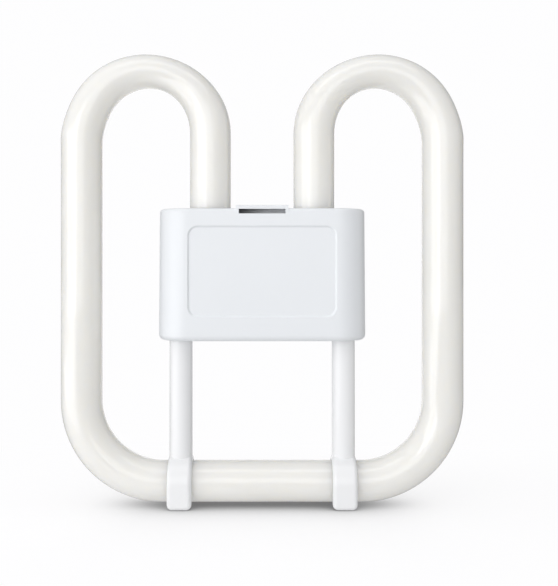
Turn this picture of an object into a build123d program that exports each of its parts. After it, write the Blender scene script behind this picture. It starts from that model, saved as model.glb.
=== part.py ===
from build123d import *
from math import cos, radians, sin
import os

# Square compact fluorescent lamp with a four-pin cap, standing on its two tube clips.
# Millimetres. +X is right, +Y is to the back (towards the lampholder), +Z is up.
# The origin is on the floor under the middle of the lamp, in the plane of the glass tube.

# Glass tube
tube_diameter = 18.9
glass_height = 205.6        # top of the bends down to the underside of the bottom limb
outer_limb_spacing = 166.2  # centre to centre, the two outside limbs
inner_limb_spacing = 47.6   # centre to centre, the two limbs that enter the housing
corner_radius = 37.4        # centre line of the two bottom corners
bend_lead_radius = 37.7     # centre line of a bend where it leaves the outer limb
bend_lead_turn = 35.0       # degrees turned at that radius, before the bend tightens
neck_turn = 101.0           # degrees into the bend at which the glass is narrowest
neck_width = 15.2           # across the neck in the plane of the lamp
neck_depth = 17.8           # across the neck from front to back
bend_sections = 12          # steps of the loft round a bend
tube_entry = 15.0           # length of glass inside the housing
tube_end_round = 5.0        # domed end of the glass

# Housing, split into a front and a rear half in the plane of the tube
housing_lift = 76.0         # floor to the underside of the housing
housing_height = 59.5
housing_width_top = 93.9
housing_width_bottom = 94.8
housing_depth = 28.0
housing_side_round = 13.4   # upright edges, almost a half round
housing_top_round = 1.6
housing_bottom_round = 2.6
wall = 1.8
seam_reveal = 0.25          # the rear half steps in at the seam
tongue_thickness = 1.0      # lip of the rear half that enters the front half
tongue_length = 3.0
rib_thickness = 1.6

# Sunk panel on the front
panel_width = 66.7
panel_height = 40.9
panel_corner = 4.6
panel_sink = 0.7
panel_slope = 50.0          # degrees, sloping border of the panel
panel_rise = 1.5            # panel centre above the housing centre

# Slot for the retaining spring, under a raised bar at the top of the front
slot_width = 20.8
slot_height = 2.1
slot_drop = 0.35            # roof of the slot below the top of the housing
slot_reach = 7.5            # depth of the slot
bar_rise = 1.35             # top of the bar above the top of the housing
bar_margin = 1.4            # bar past each end of the slot, and past its back
bar_round = 0.5

# Support legs, each with a snap clip for the bottom limb
leg_spacing = 74.7
leg_diameter = 10.6
leg_head_diameter = 14.6    # flange that is trapped inside the housing
leg_head_thickness = 2.0
clip_width = 11.2
clip_wall = 2.65
clip_mouth = 14.8           # throat that the tube snaps through
clip_mouth_flare = 16.4     # opening of the mouth at the floor
clip_arm_lean = 2.0         # degrees, each arm leans in towards its foot
clip_foot_round = 2.4       # corners of the feet, seen from the front
clip_edge_round = 2.0       # outside edges of the arch and the arms
foot_drop = 1.3             # feet below the underside of the glass

# Cap: well, pins, leads and cement
well_width = 24.0
well_height = 26.0
well_depth = 9.0
well_corner = 2.0
well_wall = 1.5
well_floor = 2.0
pin_pitch = 10.0
pin_diameter = 2.35
pin_length = 7.5            # above the floor of the well
pin_shoulder_diameter = 3.1 # rests on the floor of the well
pin_shoulder_height = 0.8
pin_shank_diameter = 1.9    # through the floor
pin_flange_diameter = 4.2   # riveted over behind the floor
pin_flange_thickness = 0.8
pin_tail_diameter = 1.6
pin_tail_length = 3.2
lead_diameter = 0.7
lead_pitch = 4.4            # the two leads of one tube end
lead_bend_radius = 1.5
lead_drop = 4.0             # straight run out of the glass
lead_approach = 4.0         # straight run onto the tail of a pin
collar_thickness = 2.0
collar_length = 5.0

# Clearances
hole_clearance = 0.2        # glass and legs in the holes of the housing, on the radius
clip_clearance = 0.15       # glass in a clip, on the radius
trap_clearance = 0.1        # leg heads, cement and tongue between their walls
pin_clearance = 0.05        # pins in the floor of the well, on the radius

# Levels and centres that follow from the sizes above
tube_radius = tube_diameter / 2
outer_x = outer_limb_spacing / 2
inner_x = inner_limb_spacing / 2
leg_x = leg_spacing / 2
bottom_limb_z = foot_drop + tube_radius
housing_top = housing_lift + housing_height
housing_mid = housing_lift + housing_height / 2
half_depth = housing_depth / 2
tube_end_z = housing_top - tube_entry
collar_radius = tube_radius + collar_thickness
collar_top = housing_top - wall - trap_clearance
collar_bottom = collar_top - collar_length
leg_head_bottom = housing_lift + wall + trap_clearance
leg_head_top = leg_head_bottom + leg_head_thickness
well_floor_y = half_depth - well_depth
pin_tail_end_y = well_floor_y - well_floor - pin_flange_thickness - pin_tail_length

# Bend of the glass: a wide arc off the outer limb, then a tighter one over to the inner limb
lead_turn = radians(bend_lead_turn)
bend_close_radius = (outer_x - inner_x - bend_lead_radius * (1 - cos(lead_turn))) / (1 + cos(lead_turn))


def neck_share(turn):
    # 0 at both limbs, 1 at the neck, easing in and out
    reach = turn / neck_turn if turn < neck_turn else (180 - turn) / (180 - neck_turn)
    return sin(radians(90 * reach)) ** 2


def half_width(turn):
    return tube_radius - (tube_radius - neck_width / 2) * neck_share(turn)


def half_thickness(turn):
    return tube_radius - (tube_radius - neck_depth / 2) * neck_share(turn)


def bend_offset(turn):
    # Centre line of the bend: how far in from the outer limb, how far up from its start
    angle = radians(turn)
    first = min(angle, lead_turn)
    inward = bend_lead_radius * (1 - cos(first))
    upward = bend_lead_radius * sin(first)
    if angle > lead_turn:
        inward += bend_close_radius * (cos(lead_turn) - cos(angle))
        upward += bend_close_radius * (sin(angle) - sin(lead_turn))
    return inward, upward


bend_start_z = foot_drop + glass_height - half_width(90) - bend_offset(90)[1]
bend_end_z = bend_start_z + bend_offset(180)[1]


def rod(start, finish, diameter):
    run = Vector(*finish) - Vector(*start)
    return extrude(Plane(origin=start, z_dir=run) * Circle(diameter / 2), amount=run.length)


def bend_section(turn):
    inward, upward = bend_offset(turn)
    angle = radians(turn)
    place = Plane(
        origin=(-outer_x + inward, 0, bend_start_z + upward),
        x_dir=(0, 1, 0),
        z_dir=(sin(angle), 0, cos(angle)),
    )
    return place * Ellipse(half_thickness(turn), half_width(turn))


def discharge_tube():
    bend = loft([bend_section(180 * step / bend_sections) for step in range(bend_sections + 1)])
    corner_z = bottom_limb_z + corner_radius
    corner_x = -outer_x + corner_radius
    corner_path = ThreePointArc(
        (-outer_x, 0, corner_z),
        (corner_x - corner_radius * cos(radians(45)), 0, corner_z - corner_radius * sin(radians(45))),
        (corner_x, 0, bottom_limb_z),
    )
    corner = sweep(Plane(origin=(-outer_x, 0, corner_z), z_dir=(0, 0, -1)) * Circle(tube_radius), corner_path)
    outer_limb = rod((-outer_x, 0, corner_z), (-outer_x, 0, bend_start_z), tube_diameter)
    inner_limb = rod((-inner_x, 0, tube_end_z), (-inner_x, 0, bend_end_z), tube_diameter)
    inner_limb = fillet(inner_limb.edges().group_by(Axis.Z)[0], tube_end_round)
    bottom_half = rod((corner_x, 0, bottom_limb_z), (0, 0, bottom_limb_z), tube_diameter)
    half = inner_limb + bend + outer_limb + corner + bottom_half
    return half + mirror(half, about=Plane.YZ)


def housing_block(inset, depth):
    # Front outline a little wider at the bottom, upright edges almost half round, soft rims
    low, high = housing_lift + inset, housing_top - inset
    half_low, half_high = housing_width_bottom / 2 - inset, housing_width_top / 2 - inset
    outline = Polyline((-half_low, low), (half_low, low), (half_high, high), (-half_high, high), close=True)
    block = extrude(Plane.XZ * make_face(outline), amount=depth / 2, both=True)
    uprights = block.edges().filter_by(lambda edge: abs(edge.tangent_at(0.5).Z) > 0.9)
    block = fillet(uprights, housing_side_round - inset)
    block = fillet(block.edges().group_by(Axis.Z)[-1], max(housing_top_round - inset, 0.2))
    return fillet(block.edges().group_by(Axis.Z)[0], max(housing_bottom_round - inset, 0.2))


def half_space(side):
    # Everything in front of the seam (side -1) or behind it (side 1)
    return Pos(0, side * housing_depth, housing_mid) * Box(
        2 * housing_width_bottom, 2 * housing_depth, 3 * housing_height
    )


def plate(centre_x, width, low, high, side):
    # Upright wall-to-seam rib, trimmed later by the outside of the housing
    return Pos(centre_x, side * half_depth / 2, (low + high) / 2) * Box(width, half_depth, high - low)


def housing_half(side, outer):
    # One half of the shell with its ribs and its half of the holes for glass and legs
    cavity = housing_block(wall, housing_depth - 2 * wall)
    ribs = []
    for x in (-inner_x, inner_x):
        ribs.append(plate(x, 2 * collar_radius, collar_bottom - rib_thickness, collar_bottom, side))
    for x in (-leg_x, leg_x):
        low = leg_head_top + trap_clearance
        ribs.append(plate(x, leg_diameter, low, low + rib_thickness, side))
    shell = (outer & half_space(side)) - cavity
    for rib in ribs:
        shell += rib & outer
    for x in (-inner_x, inner_x):
        shell -= rod((x, 0, housing_mid), (x, 0, housing_top + wall), tube_diameter + 2 * hole_clearance)
    for x in (-leg_x, leg_x):
        shell -= rod((x, 0, housing_lift - wall), (x, 0, leg_head_bottom), leg_diameter + 2 * hole_clearance)
    return shell


def front_cover():
    cover = housing_half(-1, housing_block(0, housing_depth))
    slot_top = housing_top - slot_drop
    slot_bottom = slot_top - slot_height
    bar_low, bar_high = slot_bottom - bar_margin, housing_top + bar_rise
    bar_depth = slot_reach + bar_margin
    bar = Pos(0, -half_depth + bar_depth / 2, (bar_low + bar_high) / 2) * Box(
        slot_width + 2 * bar_margin, bar_depth, bar_high - bar_low
    )
    bar = fillet(bar.edges().group_by(Axis.Z)[-1], bar_round)
    slot = Pos(0, -half_depth + slot_reach / 2, (slot_top + slot_bottom) / 2) * Box(
        slot_width, slot_reach, slot_height
    )
    face = Plane(origin=(0, -half_depth, housing_mid + panel_rise), x_dir=(1, 0, 0), z_dir=(0, 1, 0))
    panel = extrude(
        face * RectangleRounded(panel_width, panel_height, panel_corner), amount=panel_sink, taper=panel_slope
    )
    return cover + bar - slot - panel


def rear_base():
    outer = housing_block(seam_reveal, housing_depth)
    base = housing_half(1, outer)
    tongue_inset = wall + trap_clearance
    seam_band = Box(2 * housing_width_bottom, tongue_length, 2 * housing_height)
    tongue = housing_block(tongue_inset, housing_depth - 2 * tongue_inset)
    tongue &= Pos(0, -tongue_length / 2, housing_mid) * seam_band
    tongue += outer & Pos(0, tongue_length / 2, housing_mid) * seam_band
    hollow_inset = tongue_inset + tongue_thickness
    tongue -= housing_block(hollow_inset, housing_depth - 2 * hollow_inset)
    for x in (-inner_x, inner_x):
        tongue -= rod((x, 0, housing_mid), (x, 0, housing_top), 2 * (collar_radius + hole_clearance))
    for x in (-leg_x, leg_x):
        tongue -= rod((x, 0, housing_lift), (x, 0, housing_mid), leg_head_diameter + 2 * hole_clearance)
    mouth = Plane(origin=(0, half_depth, housing_mid), x_dir=(1, 0, 0), z_dir=(0, -1, 0))
    cup = extrude(
        mouth * RectangleRounded(well_width + 2 * well_wall, well_height + 2 * well_wall, well_corner + well_wall),
        amount=well_depth + well_floor,
    )
    well = extrude(mouth * RectangleRounded(well_width, well_height, well_corner), amount=well_depth)
    base = base + tongue + cup - well
    for x, z in pin_places():
        base -= rod((x, 0, z), (x, half_depth, z), pin_shank_diameter + 2 * pin_clearance)
    return base


def pin_places():
    return [
        (across * pin_pitch / 2, housing_mid + up * pin_pitch / 2) for up in (1, -1) for across in (-1, 1)
    ]


def contact_pin(x, z):
    # Round-nosed contact on a shoulder, riveted through the floor of the well, with a tail for its lead
    behind_y = well_floor_y - well_floor
    flange_y = behind_y - pin_flange_thickness
    contact = rod((x, well_floor_y, z), (x, well_floor_y + pin_length, z), pin_diameter)
    contact = fillet(contact.edges().group_by(Axis.Y)[-1], pin_diameter * 0.4)
    shoulder = rod((x, well_floor_y, z), (x, well_floor_y + pin_shoulder_height, z), pin_shoulder_diameter)
    shank = rod((x, behind_y, z), (x, well_floor_y, z), pin_shank_diameter)
    flange = rod((x, flange_y, z), (x, behind_y, z), pin_flange_diameter)
    tail = rod((x, pin_tail_end_y, z), (x, flange_y, z), pin_tail_diameter)
    return contact + shoulder + shank + flange + tail


def lead_wire(x, z):
    # From the end of the glass, down, then across to the front of its pin and back onto the tail
    side = 1 if x > 0 else -1
    outward = 1 if z < housing_mid else -1
    start_x = side * inner_x + side * outward * lead_pitch / 2
    route = FilletPolyline(
        (start_x, 0, tube_end_z),
        (start_x, 0, tube_end_z - lead_drop),
        (x, pin_tail_end_y - lead_approach, z),
        (x, pin_tail_end_y, z),
        radius=lead_bend_radius,
    )
    return sweep(Plane(origin=(start_x, 0, tube_end_z), z_dir=(0, 0, -1)) * Circle(lead_diameter / 2), route)


def bonding_collar(x):
    ring = rod((x, 0, collar_bottom), (x, 0, collar_top), 2 * collar_radius)
    return ring - rod((x, 0, collar_bottom), (x, 0, collar_top), tube_diameter)


def support_leg(x):
    # Side view of the clip: a round arch over the glass with two arms that end in flat feet
    bore = tube_radius + clip_clearance
    outside = bore + clip_wall
    foot_z = -bottom_limb_z
    lean = radians(clip_arm_lean)
    knee_y, knee_z = outside * cos(lean), -outside * sin(lean)
    foot_y = knee_y - (knee_z - foot_z) * sin(lean) / cos(lean)
    throat_z = -(bore**2 - (clip_mouth / 2) ** 2) ** 0.5
    arch = ThreePointArc((knee_y, knee_z), (0, outside), (-knee_y, knee_z))
    arms = Polyline((-knee_y, knee_z), (-foot_y, foot_z), (foot_y, foot_z), (knee_y, knee_z))
    mouth = Polyline(
        (-clip_mouth / 2, throat_z),
        (clip_mouth / 2, throat_z),
        (clip_mouth_flare / 2, foot_z),
        (-clip_mouth_flare / 2, foot_z),
        close=True,
    )
    side_view = make_face([arch, arms]) - Circle(bore) - make_face(mouth)
    across = Plane(origin=(x, 0, bottom_limb_z), x_dir=(0, 1, 0), z_dir=(1, 0, 0))
    clip = extrude(across * side_view, amount=clip_width / 2, both=True)
    foot_edges = clip.edges().group_by(Axis.Z)[0].filter_by(Axis.Y)
    clip = fillet(foot_edges, clip_foot_round)
    arch_top = bottom_limb_z + outside
    middles = [(edge, edge @ 0.5) for edge in clip.edges()]
    rim = [edge for edge, at in middles if abs(at.Y) > foot_y - 0.05 or at.Z > arch_top - 0.05]
    clip = fillet(rim, clip_edge_round)
    stem_bottom = bottom_limb_z + bore + clip_wall / 2
    stem = rod((x, 0, stem_bottom), (x, 0, leg_head_top), leg_diameter)
    head = rod((x, 0, leg_head_bottom), (x, 0, leg_head_top), leg_head_diameter)
    glass = rod((x - clip_width, 0, bottom_limb_z), (x + clip_width, 0, bottom_limb_z), 2 * bore)
    return clip + (stem - glass) + head


pieces = {
    "discharge_tube": discharge_tube(),
    "front_cover": front_cover(),
    "rear_base": rear_base(),
    "support_leg_left": support_leg(-leg_x),
    "support_leg_right": support_leg(leg_x),
    "bonding_collar_left": bonding_collar(-inner_x),
    "bonding_collar_right": bonding_collar(inner_x),
}
corners = ("upper_left", "upper_right", "lower_left", "lower_right")
for name, (pin_x, pin_z) in zip(corners, pin_places()):
    pieces["contact_pin_" + name] = contact_pin(pin_x, pin_z)
    pieces["lead_wire_" + name] = lead_wire(pin_x, pin_z)

os.makedirs("parts", exist_ok=True)
for name, piece in pieces.items():
    export_step(piece, "parts/" + name + ".step")
    print(name, len(piece.solids()), "solid, volume", round(piece.volume, 1), "valid", piece.is_valid)
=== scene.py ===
import bpy
from math import cos, radians, sin
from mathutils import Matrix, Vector

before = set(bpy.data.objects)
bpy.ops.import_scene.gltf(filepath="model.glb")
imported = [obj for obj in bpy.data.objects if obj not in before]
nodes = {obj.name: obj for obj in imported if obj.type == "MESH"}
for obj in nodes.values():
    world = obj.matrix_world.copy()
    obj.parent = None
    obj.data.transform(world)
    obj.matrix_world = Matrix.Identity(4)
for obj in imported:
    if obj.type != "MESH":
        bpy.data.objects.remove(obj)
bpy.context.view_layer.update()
scene = bpy.context.scene
scene.view_settings.view_transform = "Standard"
print("frame loaded:", len(nodes), "nodes")


# a node's output that can stand in a Python expression; each operator adds one Math node
class Sock:
    def __init__(self, paint, out):
        self.paint = paint
        self.out = out

    def math(self, operation, other=0.0, reflected=False):
        pair = {0: other, 1: self} if reflected else {0: self, 1: other}
        return self.paint.node("Math", {"operation": operation}, pair)

    def __add__(self, other):
        return self.math("ADD", other)

    def __radd__(self, other):
        return self.math("ADD", other, True)

    def __sub__(self, other):
        return self.math("SUBTRACT", other)

    def __rsub__(self, other):
        return self.math("SUBTRACT", other, True)

    def __mul__(self, other):
        return self.math("MULTIPLY", other)

    def __rmul__(self, other):
        return self.math("MULTIPLY", other, True)

    def __truediv__(self, other):
        return self.math("DIVIDE", other)

    def __rtruediv__(self, other):
        return self.math("DIVIDE", other, True)


# a node tree with one way to add any node: its type, settings first, then socket values or links
class Paint:
    def __init__(self, tree):
        self.tree = tree
        tree.nodes.clear()

    def node(self, kind, settings=None, inputs=None, out=0):
        made = self.tree.nodes.new("ShaderNode" + kind)
        for name, value in (settings or {}).items():
            setattr(made, name, value)
        for name, value in (inputs or {}).items():
            socket = made.inputs[name]
            if isinstance(value, Sock):
                self.tree.links.new(value.out, socket)
            elif socket.type == "RGBA":
                socket.default_value = (*value, 1.0)
            else:
                socket.default_value = value
        return Sock(self, made.outputs[out]) if made.outputs else made

    def place(self):
        return self.node("TexCoord", out="Object")

    def vector(self, operation, first, second=(0.0, 0.0, 0.0), out=0):
        return self.node("VectorMath", {"operation": operation}, {0: first, 1: second}, out)

    def part(self, vector, axis):
        return self.node("SeparateXYZ", None, {0: vector}, axis)

    def noise(self, scale, detail=2.0, rough=0.5, stretch=None):
        vector = self.place()
        if stretch:
            vector = self.vector("MULTIPLY", vector, stretch)
        return self.node("TexNoise", None, {
            "Vector": vector, "Scale": scale, "Detail": detail, "Roughness": rough})

    def between(self, share, low, high):
        return self.node("Mix", {"data_type": "RGBA"}, {0: share, 6: low, 7: high}, 2)

    # eases from start to end while value goes from low to high
    def step(self, value, low, high, start=0.0, end=1.0):
        return self.node("MapRange", {"interpolation_type": "SMOOTHSTEP"}, {
            "Value": value, "From Min": low, "From Max": high, "To Min": start, "To Max": end})

    def bump(self, height, distance):
        return self.node("Bump", None, {"Height": height, "Distance": distance})

    def ray(self, kind):
        return self.node("LightPath", out="Is " + kind + " Ray")

    def mix(self, share, first, second):
        return self.node("MixShader", None, {0: share, 1: first, 2: second})

    def surface(self, sockets):
        self.close("Material", self.node("BsdfPrincipled", None, sockets))

    def close(self, kind, shader):
        self.node("Output" + kind, None, {"Surface": shader})


def material(name):
    made = bpy.data.materials.new(name)
    made.use_nodes = True
    return made, Paint(made.node_tree)


# glass tube: white coating seen through clear glass
coatedGlass = {
    "warm": (0.888, 0.877, 0.835),
    "pale": (0.914, 0.905, 0.876),
    "patchScale": 42.0,           # soft patches of the coating, per metre
    "streakScale": 420.0,         # the coating ran along the tube before it dried
    "streakStretch": 0.05,
    "grainScale": 1900.0,         # powder grain
    "shares": (0.5, 0.3, 0.2),    # patches, streaks and grain in the tone
    "cornerRise": (0.024, 0.046), # the limbs turn upright between these heights, metres
    "gloss": 0.05,
    "glossDrift": 0.04,           # with the patches
    "mirror": 1.65,               # index that gives the gloss of both faces of the glass wall
    "glowThrough": 1.0,           # light spreads inside the white tube before it comes out
    "glowDepth": 0.012,
    "glowTint": (1.0, 0.97, 0.9),
    "waveScale": 26.0,            # faint waves left by drawing and bending the tube
    "waveDepth": 0.00003,         # metres
}


def makeCoatedGlass():
    made, paint = material("coatedGlass")
    patches = paint.noise(coatedGlass["patchScale"], 3.0, 0.55)
    grain = paint.noise(coatedGlass["grainScale"], 2.0, 0.6)
    upright = paint.step(paint.part(paint.place(), "Z"), *coatedGlass["cornerRise"])
    thin = coatedGlass["streakStretch"]
    downward = paint.noise(coatedGlass["streakScale"], stretch=(1.0, 1.0, thin))
    sideways = paint.noise(coatedGlass["streakScale"], stretch=(thin, 1.0, 1.0))
    streaks = downward * upright + sideways * (1.0 - upright)
    patchShare, streakShare, grainShare = coatedGlass["shares"]
    tone = patches * patchShare + streaks * streakShare + grain * grainShare
    waves = paint.noise(coatedGlass["waveScale"], 1.0, 0.4)
    paint.surface({
        "Base Color": paint.between(tone, coatedGlass["warm"], coatedGlass["pale"]),
        "Roughness": coatedGlass["gloss"] + (patches - 0.5) * coatedGlass["glossDrift"],
        "IOR": coatedGlass["mirror"],
        "Subsurface Weight": coatedGlass["glowThrough"],
        "Subsurface Radius": coatedGlass["glowTint"],
        "Subsurface Scale": coatedGlass["glowDepth"],
        "Normal": paint.bump(waves, coatedGlass["waveDepth"]),
    })
    return made


# moulded white plastic; the legs are whiter and glossier than the housing
whitePlastic = {
    "housing": {"low": (0.857, 0.884, 0.915), "high": (0.891, 0.914, 0.941), "satin": 0.30},
    "legs": {"low": (0.932, 0.939, 0.952), "high": (0.952, 0.958, 0.968), "satin": 0.14},
    "flowScale": 30.0,        # tone drifts with the flow of the melt
    "textureScale": 2600.0,   # fine spark texture
    "textureDepth": 0.00002,  # metres
    "shares": (0.7, 0.3),     # flow and texture in the tone
    "satinDrift": (0.2, 0.4), # flow and texture in the gloss
    "mirror": 1.46,
}

# inside of the retaining slot, metres, painted shade: dark at its left end and painted paler towards the
# right, where light gets in
slotPaintedShade = {
    "span": {"X": (-0.0103, 0.0103), "Y": (-0.0133, 0.0), "Z": (0.1325, 0.13545)},
    "dark": (0.20, 0.205, 0.21),
    "pale": (0.78, 0.79, 0.81),
    "paintedLightRamp": (-0.0104, 0.002),
}


# paints shade into the housing's colour inside the slot, darkest at the left end and lighter to the right
def paintSlotShade(paint, colour):
    inside = 1.0
    for axis, (low, high) in slotPaintedShade["span"].items():
        at = paint.part(paint.place(), axis)
        inside = inside * at.math("GREATER_THAN", low) * at.math("LESS_THAN", high)
    start, end = slotPaintedShade["paintedLightRamp"]
    lit = (paint.part(paint.place(), "X") - start) / (end - start)
    paintedShade = paint.between(lit, slotPaintedShade["dark"], slotPaintedShade["pale"])
    return paint.between(inside, colour, paintedShade)


def makeWhitePlastic(piece):
    made, paint = material("whitePlastic" + piece.capitalize())
    finish = whitePlastic[piece]
    flow = paint.noise(whitePlastic["flowScale"], 3.0)
    texture = paint.noise(whitePlastic["textureScale"], 2.0, 0.6)
    flowShare, textureShare = whitePlastic["shares"]
    tone = flow * flowShare + texture * textureShare
    colour = paint.between(tone, finish["low"], finish["high"])
    if piece == "housing":
        # painted shade and painted light inside the retaining slot
        colour = paintSlotShade(paint, colour)
    flowDrift, textureDrift = whitePlastic["satinDrift"]
    drift = 1.0 + (texture - 0.5) * textureDrift + (flow - 0.5) * flowDrift
    paint.surface({
        "Base Color": colour,
        "Roughness": finish["satin"] * drift,
        "IOR": whitePlastic["mirror"],
        "Normal": paint.bump(texture, whitePlastic["textureDepth"]),
    })
    return made


# drawn brass pins
pinBrass = {
    "bright": (0.78, 0.62, 0.33),
    "dull": (0.60, 0.45, 0.22),
    "spotScale": 350.0,      # tarnish, per metre
    "lineScale": 900.0,      # lines left by drawing the wire
    "lineStretch": 0.04,
    "lineDepth": 0.00001,    # metres
    "rough": (0.22, 0.18),   # where dull, and what is added where bright
}


def makePinBrass():
    made, paint = material("pinBrass")
    lines = paint.noise(pinBrass["lineScale"], 3.0, 0.6, (1.0, pinBrass["lineStretch"], 1.0))
    spots = paint.noise(pinBrass["spotScale"], 3.0, 0.6)
    rough, added = pinBrass["rough"]
    paint.surface({
        "Base Color": paint.between(spots, pinBrass["dull"], pinBrass["bright"]),
        "Roughness": rough + spots * added,
        "Metallic": 1.0,
        "Normal": paint.bump(lines, pinBrass["lineDepth"]),
    })
    return made


# tinned leads, inside the housing
leadMetal = {
    "tin": (0.66, 0.66, 0.65),
    "dark": (0.50, 0.50, 0.50),
    "spotScale": 1200.0,
    "rough": (0.3, 0.2),  # where dark, and what tin adds
}


def makeLeadMetal():
    made, paint = material("leadMetal")
    spots = paint.noise(leadMetal["spotScale"], 3.0, 0.6)
    rough, added = leadMetal["rough"]
    paint.surface({
        "Base Color": paint.between(spots, leadMetal["dark"], leadMetal["tin"]),
        "Roughness": rough + spots * added,
        "Metallic": 1.0,
    })
    return made


# cast cement round the ends of the glass
cement = {
    "pale": (0.84, 0.82, 0.75),
    "grey": (0.70, 0.68, 0.62),
    "grainScale": 700.0,
    "grainDepth": 0.0002,  # metres
    "rough": (0.8, 0.15),
}


def makeCement():
    made, paint = material("cement")
    grains = paint.noise(cement["grainScale"], 4.0, 0.7)
    rough, added = cement["rough"]
    paint.surface({
        "Base Color": paint.between(grains, cement["grey"], cement["pale"]),
        "Roughness": rough + grains * added,
        "Normal": paint.bump(grains, cement["grainDepth"]),
    })
    return made


housingPlastic = makeWhitePlastic("housing")
finishes = {
    "discharge_tube": makeCoatedGlass(),
    "front_cover": housingPlastic,
    "rear_base": housingPlastic,
    "support_leg": makeWhitePlastic("legs"),
    "contact_pin": makePinBrass(),
    "lead_wire": makeLeadMetal(),
    "bonding_collar": makeCement(),
}
for name, node in nodes.items():
    finish = next(made for start, made in finishes.items() if name.startswith(start))
    node.data.materials.clear()
    node.data.materials.append(finish)
print("finishes on", len(nodes), "nodes")

# pale floor that keeps the shadow near the lamp and runs out into a white backdrop
studio = {
    "white": (0.990, 0.988, 0.995),
    "floor": (0.962, 0.958, 0.965),
    "floorPatches": (3.0, 0.985),  # scale of its faint patches, and how dark they get
    "floorSize": 6.0,
    "floorGlow": 0.30,             # lifts the lit floor towards white
    "evenLight": 0.72,             # share of plain white near the lamp, which weakens the cast shadow
    "bounce": 0.63,                # what the floor throws back at the lamp
    "shadowReach": (0.08, 0.34),   # metres to each side, the lit floor fades into plain white
    "shadowDepth": 2.6,            # and so many times sooner to the front and back
    "contactReach": 0.070,         # metres, the soft shadow close under the glass
    "contactOpen": (0.05, 1.0),    # open sky from its darkest part to none
    "contactLift": 0.17,           # keeps the darkest part from going black
    "contactSpan": (0.030, 0.085), # metres to each side, it thins out where the glass rises
    "contactEnds": 0.74,
    "sideLevel": 0.25,             # what the gloss shows of the floor beside the white sweep
    "litSide": (0.38, 0.62),       # where the floor under the key softbox starts, as the sine to the left
    "litEnd": (-0.1, 0.25),        # and where it ends, as the cosine from straight behind
    "backdrop": (0.80, 0.98),      # how far round the white backdrop reaches, as that cosine
    "horizon": (0.48, 0.06),       # level of the dome near the floor, in front and behind
    "zenith": (0.26, 0.55),        # and what is added towards the top
    "turnover": (-0.3, 0.3),       # where front goes over into behind, as that cosine
    "leftward": 0.36,              # share by which the left side is brighter
}


def glow(paint, level, kind="Emission"):
    return paint.node(kind, None, {"Color": studio["white"], "Strength": level})


# 1 for the rays that see the backdrop: camera, see-through and, where mirrored is 1, mirror-like ones
def seenRays(paint, mirrored=1.0):
    glossy = paint.ray("Glossy") * mirrored
    return paint.ray("Camera").math("MAXIMUM", glossy).math("MAXIMUM", paint.ray("Transmission"))


# white far floor; the gloss sees it dim to the right and beside the backdrop, which draws the glass's edges
def farFloor(paint):
    level = paint.vector("MULTIPLY", paint.place(), (1.0, 1.0, 0.0))
    outward = paint.vector("NORMALIZE", level)
    back = paint.part(outward, "Y")
    left = 0.0 - paint.part(outward, "X")
    behind = paint.step(back, *studio["backdrop"])
    litSide = paint.step(left, *studio["litSide"]) * (1.0 - paint.step(back, *studio["litEnd"]))
    aslant = paint.ray("Glossy") * (1.0 - behind.math("MAXIMUM", litSide))
    return paint.mix(aslant, glow(paint, 1.0), glow(paint, studio["sideLevel"]))


# lit floor near the lamp, with the cast shadow
def nearFloor(paint):
    scale, darkest = studio["floorPatches"]
    dull = paint.node("BsdfDiffuse", None, {"Color": tuple(darkest * c for c in studio["floor"])})
    pale = paint.node("BsdfDiffuse", None, {"Color": studio["floor"]})
    lit = paint.mix(paint.noise(scale), dull, pale)
    return paint.node("AddShader", None, {0: lit, 1: glow(paint, studio["floorGlow"])})


# 1 on open floor, low close under the glass
def contactShadow(paint):
    sky = paint.node("AmbientOcclusion", {"samples": 12}, {"Distance": studio["contactReach"]}, "AO")
    clear = paint.step(sky, *studio["contactOpen"], start=studio["contactLift"])
    aside = paint.part(paint.place(), "X").math("ABSOLUTE")
    thinned = paint.step(aside, *studio["contactSpan"], end=studio["contactEnds"])
    return clear + (1.0 - clear) * thinned


def makeFloor():
    mesh = bpy.data.meshes.new("floor")
    half = studio["floorSize"] / 2
    corners = [(-half, -half, 0), (half, -half, 0), (half, half, 0), (-half, half, 0)]
    mesh.from_pydata(corners, [], [(0, 1, 2, 3)])
    floor = bpy.data.objects.new("floor", mesh)
    scene.collection.objects.link(floor)
    made, paint = material("paleFloor")
    squeezed = paint.vector("MULTIPLY", paint.place(), (1.0, studio["shadowDepth"], 1.0))
    away = paint.vector("LENGTH", squeezed, out="Value")
    fade = paint.step(away, *studio["shadowReach"], start=studio["evenLight"])
    light = paint.mix(fade, nearFloor(paint), farFloor(paint))
    unlit = paint.node("BsdfDiffuse", None, {"Color": (0.0, 0.0, 0.0)})
    shown = paint.mix(contactShadow(paint), unlit, light)
    paint.close("Material", paint.mix(seenRays(paint), glow(paint, studio["bounce"]), shown))
    mesh.materials.append(made)


# share 0 gives the first of a pair of numbers, 1 the second
def blend(share, pair):
    first, second = pair
    return first + share * (second - first)


# the lamp is lit by a dome: low in front, high up behind, and more from the left
def makeWorld():
    world = bpy.data.worlds.new("studio")
    scene.world = world
    world.use_nodes = True
    paint = Paint(world.node_tree)
    towards = paint.node("TexCoord", out="Generated")
    right = paint.part(towards, "X")
    back = paint.part(towards, "Y")
    up = paint.part(towards, "Z").math("MAXIMUM", 0.0)
    behind = paint.step(back, *studio["turnover"])
    dome = blend(behind, studio["horizon"]) + up * blend(behind, studio["zenith"])
    dome = dome * (1.0 - studio["leftward"] * right)
    brightest = (1.0 + studio["leftward"]) * (max(studio["horizon"]) + max(studio["zenith"]))
    night = glow(paint, 0.0, "Background")
    light = paint.mix(dome / brightest, night, glow(paint, brightest, "Background"))
    mirrored = paint.step(back, *studio["backdrop"])
    backdrop = glow(paint, 1.0, "Background")
    paint.close("World", paint.mix(seenRays(paint, mirrored), light, backdrop))


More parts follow.
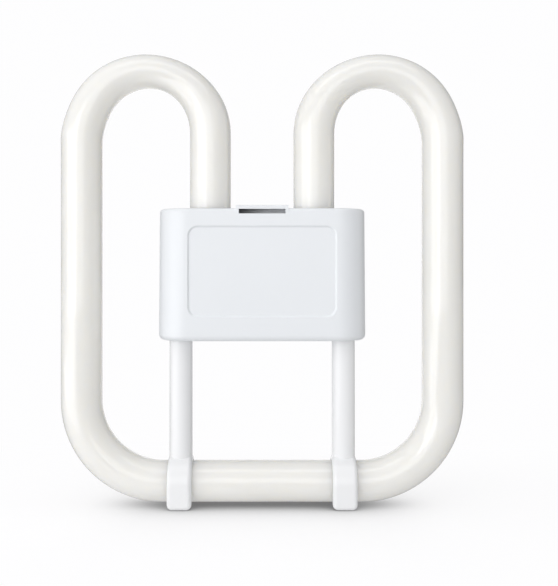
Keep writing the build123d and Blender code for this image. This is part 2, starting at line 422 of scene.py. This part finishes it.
# azimuth to the right from straight in front, in degrees; sizes in metres, power in watts
softboxes = {
    "keySoftbox": {"azimuth": -48.0, "elevation": 6.0, "distance": 1.3, "size": (1.34, 0.62), "power": 4.6},
    "frontFill": {"azimuth": -9.0, "elevation": 8.0, "distance": 1.6, "size": (1.6, 0.9), "power": 4.85},
    "topFill": {"azimuth": -12.0, "elevation": 44.0, "distance": 1.4, "size": (1.3, 0.5), "power": 2.0,
                "unseen": ("glossy",)},
    # highlight along the top of the bottom limb
    "topStrip": {"azimuth": 0.0, "elevation": 66.0, "distance": 0.55, "size": (0.7, 0.16), "power": 0.42,
                 "unseen": ("camera", "diffuse")},
    # the next two light the back and give the glass its highlight there
    "rearFill": {"azimuth": 180.0, "elevation": 8.0, "distance": 1.5, "size": (0.9, 0.5), "power": 5.5,
                 "unseen": ("camera", "glossy")},
    "rearStrip": {"azimuth": 180.0, "elevation": 8.0, "distance": 1.5, "size": (0.5, 0.34), "power": 2.2,
                  "unseen": ("camera", "diffuse")},
}
aim = Vector((0, 0, 0.1))

# low white card on the floor to the left; the gloss of the glass carries it down to the corners
floorCard = {"place": (-0.586, -0.494, 0.004), "turn": 67.5, "size": (1.1, 0.55), "power": 2.4,
             "unseen": ("camera", "diffuse")}


def areaLamp(name, plan):
    light = bpy.data.lights.new(name, "AREA")
    light.shape = "RECTANGLE"
    light.size, light.size_y = plan["size"]
    light.energy = plan["power"]
    lamp = bpy.data.objects.new(name, light)
    scene.collection.objects.link(lamp)
    for ray in plan.get("unseen", ()):
        setattr(lamp, "visible_" + ray, False)
    return lamp


def makeSoftbox(name, plan):
    lamp = areaLamp(name, plan)
    around = radians(plan["azimuth"])
    up = radians(plan["elevation"])
    away = Vector((sin(around) * cos(up), -cos(around) * cos(up), sin(up)))
    lamp.location = aim + away * plan["distance"]
    lamp.rotation_euler = away.to_track_quat("Z", "Y").to_euler()


def makeFloorCard():
    lamp = areaLamp("floorCard", floorCard)
    lamp.location = floorCard["place"]
    lamp.rotation_euler = (radians(180), 0, radians(floorCard["turn"]))


makeFloor()
makeWorld()
makeFloorCard()
for name, plan in softboxes.items():
    makeSoftbox(name, plan)
print("studio: floor, backdrop, card and", len(softboxes), "softboxes")

# camera straight in front and level, a little above the middle of the lamp
view = {
    "frame": (558, 586),
    "axis": (262.15, 266.4),     # where the line of sight meets the picture, pixels
    "height": 0.1095,
    "distance": 0.390,
    "metresPerPixel": 0.000461,  # in the plane of the tube
    "sensor": 36.0,              # millimetres
    "nearest": 0.01,
}


def makeCamera():
    lens = bpy.data.cameras.new("camera")
    camera = bpy.data.objects.new("camera", lens)
    scene.collection.objects.link(camera)
    camera.location = (0, -view["distance"], view["height"])
    camera.rotation_euler = (radians(90), 0, 0)
    wide, tall = view["frame"]
    acrossAxis, downAxis = view["axis"]
    lens.sensor_fit = "VERTICAL"
    lens.sensor_height = view["sensor"]
    lens.lens = view["sensor"] * view["distance"] / (view["metresPerPixel"] * tall)
    lens.shift_x = (wide / 2 - acrossAxis) / tall
    lens.shift_y = (downAxis - tall / 2) / tall
    lens.clip_start = view["nearest"]
    scene.camera = camera


makeCamera()
print("camera", view["distance"], "m away")
